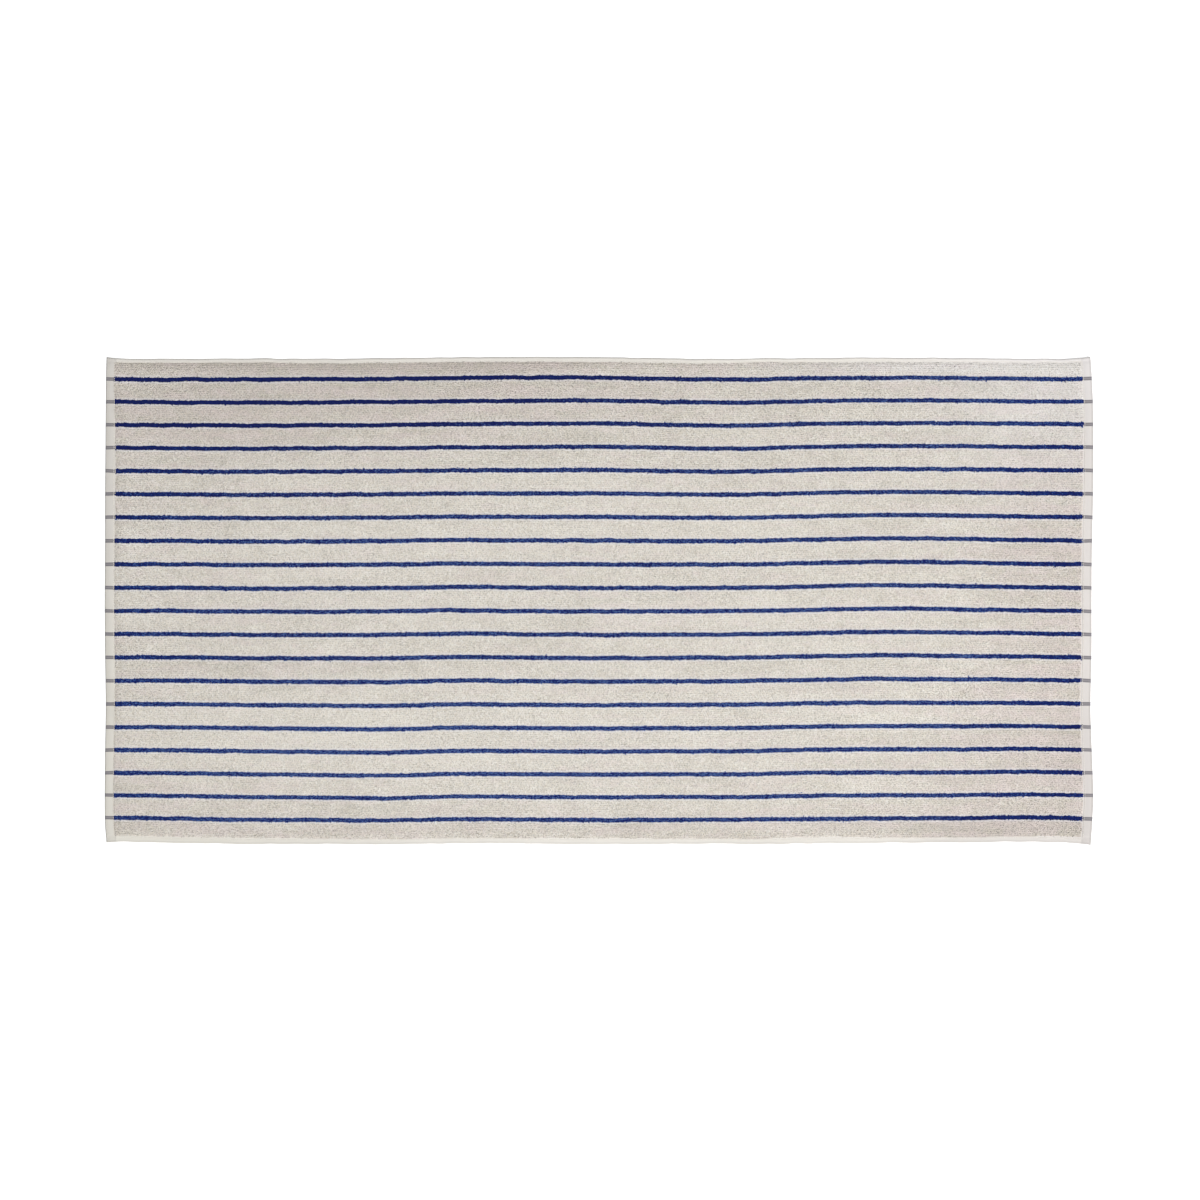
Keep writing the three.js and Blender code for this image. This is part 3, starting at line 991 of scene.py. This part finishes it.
def natural_yarn(tree, place, tone, cream):
    """Undyed cotton: pale with tone, creamier with cream, rosier and lintier in places, with painted
    shade.
    """
    along, across, _ = add_node(tree, "ShaderNodeSeparateXYZ", {0: place}).outputs
    pile_shading = add_node(tree, "ShaderNodeAttribute", attribute_name="pile_shading").outputs["Fac"]
    grey = add_node(tree, "ShaderNodeMix", {0: tone, 6: NATURAL_DEEP, 7: NATURAL}, **COLOUR)
    cream = add_node(tree, "ShaderNodeMath", {0: cream, 1: 0.62}, operation="MULTIPLY")
    creamy = add_node(tree, "ShaderNodeMix", {0: cream, 6: grey, 7: CREAM}, **COLOUR)

    # Rosier towards the right end, where the pile's painted shade is deep, and in patches of three sizes.
    rightward = add_node(tree, "ShaderNodeMapRange", {0: along, 1: 0.35, 2: 0.7}, **SMOOTH)
    rosy = add_node(tree, "ShaderNodeMath", {0: rightward, 1: 0.08}, operation="MULTIPLY")
    lean = add_node(tree, "ShaderNodeMath", {0: pile_shading, 1: -0.9}, operation="MAXIMUM")
    rosy = add_node(tree, "ShaderNodeMath", {0: lean, 1: -0.12, 2: rosy}, operation="MULTIPLY_ADD")
    for size_u, size_v in ((130, 12), (40, 12), (12, 10)):
        spots = patches(tree, place, size_u, size_v, 1.0)
        patch = add_node(tree, "ShaderNodeMapRange", {0: spots, 1: 0.4, 2: 0.6}, **SMOOTH)
        more = {0: patch, 1: 0.14, 2: rosy}
        rosy = add_node(tree, "ShaderNodeMath", more, operation="MULTIPLY_ADD")
    rosy = add_node(tree, "ShaderNodeMath", {0: rosy, 1: 0.16}, operation="SUBTRACT", use_clamp=True)
    tinted = add_node(tree, "ShaderNodeMix", {0: rosy, 6: creamy, 7: ROSE}, **COLOUR)

    # Lint on the loops beside a stripe, and in the areas of the table.
    gap = from_stripe(tree, place)
    apart = add_node(tree, "ShaderNodeMapRange", {0: gap, 1: 4.4 * MM, 2: 6.3 * MM}, **SMOOTH)
    linty = add_node(tree, "ShaderNodeMath", {0: 1.0, 1: apart}, operation="SUBTRACT")
    for area in LINTY_AREAS:
        x_range = {0: along, 1: area["x_from"], 2: area["x_to"]}
        y_range = {0: across, 1: area["y_from"], 2: area["y_to"]}
        in_x = add_node(tree, "ShaderNodeMapRange", x_range, **SMOOTH)
        in_y = add_node(tree, "ShaderNodeMapRange", y_range, **SMOOTH)
        inside = add_node(tree, "ShaderNodeMath", {0: in_x, 1: in_y}, operation="MULTIPLY")
        here = add_node(tree, "ShaderNodeMath", {0: inside, 1: area["share"]}, operation="MULTIPLY")
        linty = add_node(tree, "ShaderNodeMath", {0: linty, 1: here}, operation="MAXIMUM")
    linty = add_node(tree, "ShaderNodeMath", {0: linty, 1: 0.4}, operation="MULTIPLY")
    pale = add_node(tree, "ShaderNodeMix", {0: linty, 6: tinted, 7: LINT}, **COLOUR)

    # Painted shade: a shade darker where the pile's painted shade is deepest, as beside the far hem.
    away = {0: pile_shading, 1: -0.075, 2: -0.09}
    dark = add_node(tree, "ShaderNodeMath", away, operation="MULTIPLY_ADD", use_clamp=True)
    dark = add_node(tree, "ShaderNodeMath", {0: dark, 1: 0.05}, operation="MINIMUM")
    return add_node(tree, "ShaderNodeMix", {0: dark, 6: pale, 7: BLACK}, **COLOUR)


print("lint in", len(LINTY_AREAS), "areas and beside every stripe")

# %% Natural loops
natural_loops, tree, shader = cotton("natural cotton loops", 0.1)
place = add_node(tree, "ShaderNodeAttribute", attribute_name="flat").outputs["Vector"]
loop_tone = add_node(tree, "ShaderNodeAttribute", attribute_name="tone").outputs["Fac"]
cell_tone, cell_cream, cell_height = loop_cells(tree, place)
tone = pile_tone(tree, place, cell_tone)
own = add_node(tree, "ShaderNodeMath", {0: loop_tone, 1: 0.5}, operation="SUBTRACT")
tone = add_node(tree, "ShaderNodeMath", {0: own, 1: 0.3, 2: tone}, operation="MULTIPLY_ADD")
tone.use_clamp = True
yarn = natural_yarn(tree, place, tone, cell_cream)
finish(tree, shader, with_gap_shade(tree, yarn, cell_height, 0.36), cell_height, 0.4)
print(natural_loops.name, "has", len(tree.nodes), "nodes")

# %% [markdown]
# ### Navy loops
# The stripes are yarn that was dyed before it was woven. One tone runs from deep navy to a paler
# navy, and each part adds its share to it. It differs from loop to loop and in patches, it is
# paler towards the near side and the right end and darker towards both ends, and it carries the
# pile's painted light and shade. Towards the ends the deep navy is also bluer.

# %% Navy loops
navy_loops, tree, shader = cotton("navy dyed cotton loops", 0.04)
place = add_node(tree, "ShaderNodeAttribute", attribute_name="flat").outputs["Vector"]
loop_tone = add_node(tree, "ShaderNodeAttribute", attribute_name="tone").outputs["Fac"]
pile_shading = add_node(tree, "ShaderNodeAttribute", attribute_name="pile_shading").outputs["Fac"]
cell_tone, _, cell_height = loop_cells(tree, place)
along, across, _ = add_node(tree, "ShaderNodeSeparateXYZ", {0: place}).outputs
from_middle = add_node(tree, "ShaderNodeMath", {0: along}, operation="ABSOLUTE")
near_end = add_node(tree, "ShaderNodeMapRange", {0: from_middle, 1: 0.48, 2: 0.7}, **SMOOTH)
slope = add_node(tree, "ShaderNodeMath", {0: along, 1: 0.4, 2: -0.6}, operation="MULTIPLY_ADD")
slope = add_node(tree, "ShaderNodeMath", {0: across, 1: 0.9, 2: slope}, operation="MULTIPLY_ADD")
tone = add_node(tree, "ShaderNodeMath", {0: cell_tone, 1: 0.6}, operation="MULTIPLY")
# The pile's painted light and shade is one of these parts, so the navy gets the same painted shade.
for part, weight in (
    (loop_tone, 0.6),
    (patches(tree, place, 60, 9), 0.5),
    (pile_shading, 0.3),
    (near_end, -0.26),
    (along, 0.12),
    (across, slope),
):
    more = {0: part, 1: weight, 2: tone}
    tone = add_node(tree, "ShaderNodeMath", more, operation="MULTIPLY_ADD")
paler_share = add_node(tree, "ShaderNodeMapRange", {0: tone, 1: 0.48, 2: 1.1}, **SMOOTH)
endward = add_node(tree, "ShaderNodeMapRange", {0: from_middle, 1: 0.45, 2: 0.62}, **SMOOTH)
pale = add_node(tree, "ShaderNodeMapRange", {0: tone, 1: 0.25, 2: 0.7}, **SMOOTH)
fresh = add_node(tree, "ShaderNodeMath", {0: endward, 1: pale}, operation="MULTIPLY")
deep = add_node(tree, "ShaderNodeMix", {0: fresh, 6: NAVY_DEEP, 7: NAVY_FRESH}, **COLOUR)
dyed = add_node(tree, "ShaderNodeMix", {0: paler_share, 6: deep, 7: NAVY}, **COLOUR)
finish(tree, shader, with_gap_shade(tree, dyed, cell_height, 0.3), cell_height, 0.4)
print(navy_loops.name, "has", len(tree.nodes), "nodes")

# %% [markdown]
# ### The mass of the pile
# Between the tops of the loops the eye looks down into the pile, which is the same yarn in its
# own shade. Under the navy loops it is navy, with an uneven edge. The loops here are too fine to
# model, so a cell pattern of their size gives the surface its bump.

# %% Pile ground
pile_ground, tree, shader = cotton("cotton terry ground", 0.1)
place = add_node(tree, "ShaderNodeAttribute", attribute_name="flat").outputs["Vector"]
cell_tone, cell_cream, cell_height = loop_cells(tree, place)
wander = {0: patches(tree, place, 4, 3.5), 1: 3.4 * MM, 2: -1.7 * MM}
wander = add_node(tree, "ShaderNodeMath", wander, operation="MULTIPLY_ADD")
gap = add_node(tree, "ShaderNodeMath", {0: from_stripe(tree, place), 1: wander}, operation="ADD")
low, high = (STRIPE_WIDTH / 2 - 0.2) * MM, (STRIPE_WIDTH / 2 + 0.1) * MM
undyed = add_node(tree, "ShaderNodeMapRange", {0: gap, 1: low, 2: high}, **SMOOTH)
natural = natural_yarn(tree, place, pile_tone(tree, place, cell_tone), cell_cream)
ground = add_node(tree, "ShaderNodeMix", {0: undyed, 6: NAVY_DEEP, 7: natural}, **COLOUR)
finish(tree, shader, ground, cell_height, 0.8)
print(pile_ground.name, "has", len(tree.nodes), "nodes")

# %% [markdown]
# ### The hems
# The hem is the ground weave alone, so it is flatter and lighter than the pile. The stripes run
# on through the end hems: without their loops, only two fine dyed ground warps are left of each,
# and they show as a pair of thin grey lines with a paler bar between them. The hems are a little
# rosier towards the right end, bluer in its far corner and creamier near the left. The turned
# edges of the near side and the right end are a shade darker, which is painted shade, and the
# hems carry painted light and shade of their own.

# %% Shades of the hem
LINE_PLACE, LINE_WIDTH = 1.75, 1.4

hem_weave, tree, shader = cotton("plain woven cotton hem", 0.15)
place = add_node(tree, "ShaderNodeAttribute", attribute_name="flat").outputs["Vector"]
hem_light = add_node(tree, "ShaderNodeAttribute", attribute_name="hem_shading").outputs["Fac"]
along, across, _ = add_node(tree, "ShaderNodeSeparateXYZ", {0: place}).outputs

# Painted light and shade: the hems' table, with some chance unevenness, mixes lit and shaded copies.
uneven = {0: patches(tree, place, 25, 25), 1: 0.4, 2: 0.3}
uneven = add_node(tree, "ShaderNodeMath", uneven, operation="MULTIPLY_ADD")
light = add_node(tree, "ShaderNodeMath", {0: hem_light, 1: uneven}, operation="ADD", use_clamp=True)
side_shade = add_node(tree, "ShaderNodeMix", {0: light, 6: HEM_SHADE, 7: HEM}, **COLOUR)
end_shade = add_node(tree, "ShaderNodeMix", {0: light, 6: END_HEM_SHADE, 7: END_HEM_PALE}, **COLOUR)
from_middle = add_node(tree, "ShaderNodeMath", {0: along}, operation="ABSOLUTE")
end_from = (HALF_LENGTH - END_HEM - 0.6) * MM
at_end = add_node(tree, "ShaderNodeMath", {0: from_middle, 1: end_from}, operation="GREATER_THAN")
shade = add_node(tree, "ShaderNodeMix", {0: at_end, 6: side_shade, 7: end_shade}, **COLOUR)
print("the shade of the end hems starts", round(end_from, 4), "m from the middle")

# %% Tints of the hem, and the painted shade on its turned edges
rightward = add_node(tree, "ShaderNodeMapRange", {0: along, 1: 0.3, 2: 0.68}, **SMOOTH)
leftward = add_node(tree, "ShaderNodeMapRange", {0: along, 1: -0.2, 2: -0.68}, **SMOOTH)
far = add_node(tree, "ShaderNodeMapRange", {0: across, 1: 0.2, 2: 0.34}, **SMOOTH)
near = add_node(tree, "ShaderNodeMapRange", {0: across, 1: 0.15, 2: -0.1}, **SMOOTH)
far_right = add_node(tree, "ShaderNodeMath", {0: rightward, 1: far}, operation="MULTIPLY")
near_left = add_node(tree, "ShaderNodeMath", {0: leftward, 1: near}, operation="MULTIPLY")
# Painted shade: the turned edges of the near side and the right end darken towards the fold.
from_near = add_node(tree, "ShaderNodeMath", {0: across, 1: HALF_WIDTH * MM}, operation="ADD")
from_right = add_node(tree, "ShaderNodeMath", {0: HALF_LENGTH * MM, 1: along}, operation="SUBTRACT")
from_fold = add_node(tree, "ShaderNodeMath", {0: from_near, 1: from_right}, operation="MINIMUM")
smooth = add_node(tree, "ShaderNodeMapRange", {0: from_fold, 1: 1.0 * MM, 2: 4.5 * MM}, **SMOOTH)
edge_shade = add_node(tree, "ShaderNodeMath", {0: 1.0, 1: smooth}, operation="SUBTRACT")
for area, strength, tint in (
    (rightward, 0.2, HEM_ROSY),
    (far_right, 0.15, LINT),
    (near_left, 0.2, HEM_CREAM),
    (edge_shade, 0.18, BLACK),
):
    share = add_node(tree, "ShaderNodeMath", {0: area, 1: strength}, operation="MULTIPLY")
    shade = add_node(tree, "ShaderNodeMix", {0: share, 6: shade, 7: tint}, **COLOUR)
print("four tints on", hem_weave.name)

# %% Dyed warps in the end hems
gap = from_stripe(tree, place)
off_line = add_node(tree, "ShaderNodeMath", {0: gap, 1: LINE_PLACE * MM}, operation="SUBTRACT")
off_line = add_node(tree, "ShaderNodeMath", {0: off_line}, operation="ABSOLUTE")
edge = {0: off_line, 1: 0.35 * LINE_WIDTH * MM, 2: 0.65 * LINE_WIDTH * MM}
undyed = add_node(tree, "ShaderNodeMapRange", edge, **SMOOTH)
on_line = add_node(tree, "ShaderNodeMath", {0: 1.0, 1: undyed}, operation="SUBTRACT")
outside = add_node(tree, "ShaderNodeMapRange", {0: gap, 1: 2.2 * MM, 2: 2.8 * MM}, **SMOOTH)
bar = add_node(tree, "ShaderNodeMath", {0: 1.0, 1: outside}, operation="SUBTRACT")
bar = add_node(tree, "ShaderNodeMath", {0: bar, 1: 0.85}, operation="MULTIPLY")
for dyed in (bar, on_line):
    share = add_node(tree, "ShaderNodeMath", {0: dyed, 1: at_end}, operation="MULTIPLY")
    shade = add_node(tree, "ShaderNodeMix", {0: share, 6: shade, 7: HEM_LINE}, **COLOUR)
print("dyed warps", LINE_PLACE, "mm to each side of a stripe's middle")

# %% Hem weave
# Real threads are about 0.5 mm apart. They are drawn at 1.6 mm, so that the weave can be seen.
# A Wave texture of scale 1 has a band every pi / 10 of a unit.
THREAD_STEP = 1.6

warp, weft = (
    add_node(tree, "ShaderNodeTexWave", {
        "Vector": place,
        "Scale": math.pi / 10 / (THREAD_STEP * MM),
    }, bands_direction=direction).outputs["Fac"]
    for direction in ("X", "Y")
)
weave = add_node(tree, "ShaderNodeMath", {0: warp, 1: weft}, operation="MULTIPLY")
finish(tree, shader, shade, weave, 0.25)
print(hem_weave.name, "has", len(tree.nodes), "nodes")

# %% [markdown]
# ### Sewing thread
# The thread is mercerised cotton: the same natural shade, a little smoother than the cloth. A
# stitch is too small to need a pattern, so only the shade differs, from one to the next.

# %% Thread
sewing_thread, tree, shader = cotton("mercerised cotton thread", 0.1, THREAD_ROUGHNESS)
tone = add_node(tree, "ShaderNodeAttribute", attribute_name="tone").outputs["Fac"]
shade = add_node(tree, "ShaderNodeMix", {0: tone, 6: THREAD_SHADE, 7: THREAD_PALE}, **COLOUR)
tree.links.new(shade.outputs[2], shader.inputs["Base Color"])
print(sewing_thread.name, "has", len(tree.nodes), "nodes")

# %% Give the pieces their materials
cloth.data.materials.append(pile_ground)
cloth.data.materials.append(hem_weave)
flat = attribute_vectors(cloth, "flat") / MM
hem_shading = cloth.data.attributes.new("hem_shading", "FLOAT", "POINT")
hem_shading.data.foreach_set("value", tone_from(HEM_LIGHT_AND_SHADE, *flat.T[:2]))
centres = np.array([flat[list(face.vertices)].mean(axis=0) for face in cloth.data.polygons])
is_hem = ~in_terry(centres[:, 0], centres[:, 1])
cloth.data.polygons.foreach_set("material_index", is_hem.astype(int))
for pile in natural_piles:
    pile.data.materials.append(natural_loops)
navy_pile.data.materials.append(navy_loops)
stitches.data.materials.append(sewing_thread)
print(int(is_hem.sum()), "faces of hem,", int((~is_hem).sum()), "of terry")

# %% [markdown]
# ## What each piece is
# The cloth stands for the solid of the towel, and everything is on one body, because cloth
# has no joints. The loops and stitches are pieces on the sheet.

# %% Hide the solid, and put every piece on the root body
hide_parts("towel")
for piece in (cloth, *piles, stitches):
    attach(piece, "root")
print(len(piles), "piles and the stitches go with the sheet")

# %% [markdown]
# ## The stage
# The towel lies on a white floor under soft studio light. A brighter lamp would whiten the floor
# too, but it would bleach the cotton. So white is added to the floor and the world only where
# the camera sees them, directly, in a reflection or through glass, and it lights nothing else.
# The one softbox stands at the near right, so the pile shades its own far edges and the cloth is
# a little darker at the far left. The floor keeps the towel's shadow.

# %% Floor
FLOOR_GREY = (0.8, 0.8, 0.8, 1)
FLOOR_GLOW = 0.62


def add_to_white(tree, surface, strength):
    """Adds white to a surface for the camera, for reflections and through glass."""
    rays = add_node(tree, "ShaderNodeLightPath").outputs
    seen = rays["Is Camera Ray"]
    for kind in ("Is Glossy Ray", "Is Transmission Ray"):
        seen = add_node(tree, "ShaderNodeMath", {0: seen, 1: rays[kind]}, operation="MAXIMUM")
    seen = add_node(tree, "ShaderNodeMath", {0: seen, 1: strength}, operation="MULTIPLY")
    glow = add_node(tree, "ShaderNodeEmission", {"Strength": seen})
    return add_node(tree, "ShaderNodeAddShader", {0: surface, 1: glow})


bpy.ops.object.select_all(action="DESELECT")
bpy.ops.mesh.primitive_plane_add(size=12, location=(0, 0, -0.2 * MM))
floor = bpy.context.object
floor.name = "floor"
floor_paint = bpy.data.materials.new("white studio floor")
floor_paint.use_nodes = True
tree = floor_paint.node_tree
tree.nodes.clear()
paint = add_node(tree, "ShaderNodeBsdfDiffuse", {"Color": FLOOR_GREY})
add_node(tree, "ShaderNodeOutputMaterial", {"Surface": add_to_white(tree, paint, FLOOR_GLOW)})
floor.data.materials.append(floor_paint)
print("floor", [round(side, 1) for side in floor.dimensions], "m")

# %% World and lamp
WORLD_LIGHT = 0.384
LAMP_PLACE, LAMP_SIZE, LAMP_POWER = (3.1, -3.2, 5.7), 3.2, 560

world = bpy.context.scene.world or bpy.data.worlds.new("studio")
bpy.context.scene.world = world
world.use_nodes = True
tree = world.node_tree
tree.nodes.clear()
sky = add_node(tree, "ShaderNodeBackground", {"Color": (1, 1, 1, 1), "Strength": WORLD_LIGHT})
add_node(tree, "ShaderNodeOutputWorld", {"Surface": add_to_white(tree, sky, 1 - WORLD_LIGHT)})

lamp_data = bpy.data.lights.new("softbox", "AREA")
lamp_data.size = LAMP_SIZE
lamp_data.energy = LAMP_POWER
lamp = bpy.data.objects.new("softbox", lamp_data)
bpy.context.scene.collection.objects.link(lamp)
lamp.location = LAMP_PLACE
# A lamp shines along its own -Z, which is turned towards the middle of the towel.
lamp.rotation_euler = (-Vector(LAMP_PLACE)).to_track_quat("-Z", "Y").to_euler()
print("softbox", LAMP_SIZE, "m wide,", round(Vector(LAMP_PLACE).length, 1), "m away")
bpy.context.scene.view_settings.view_transform = "Standard"
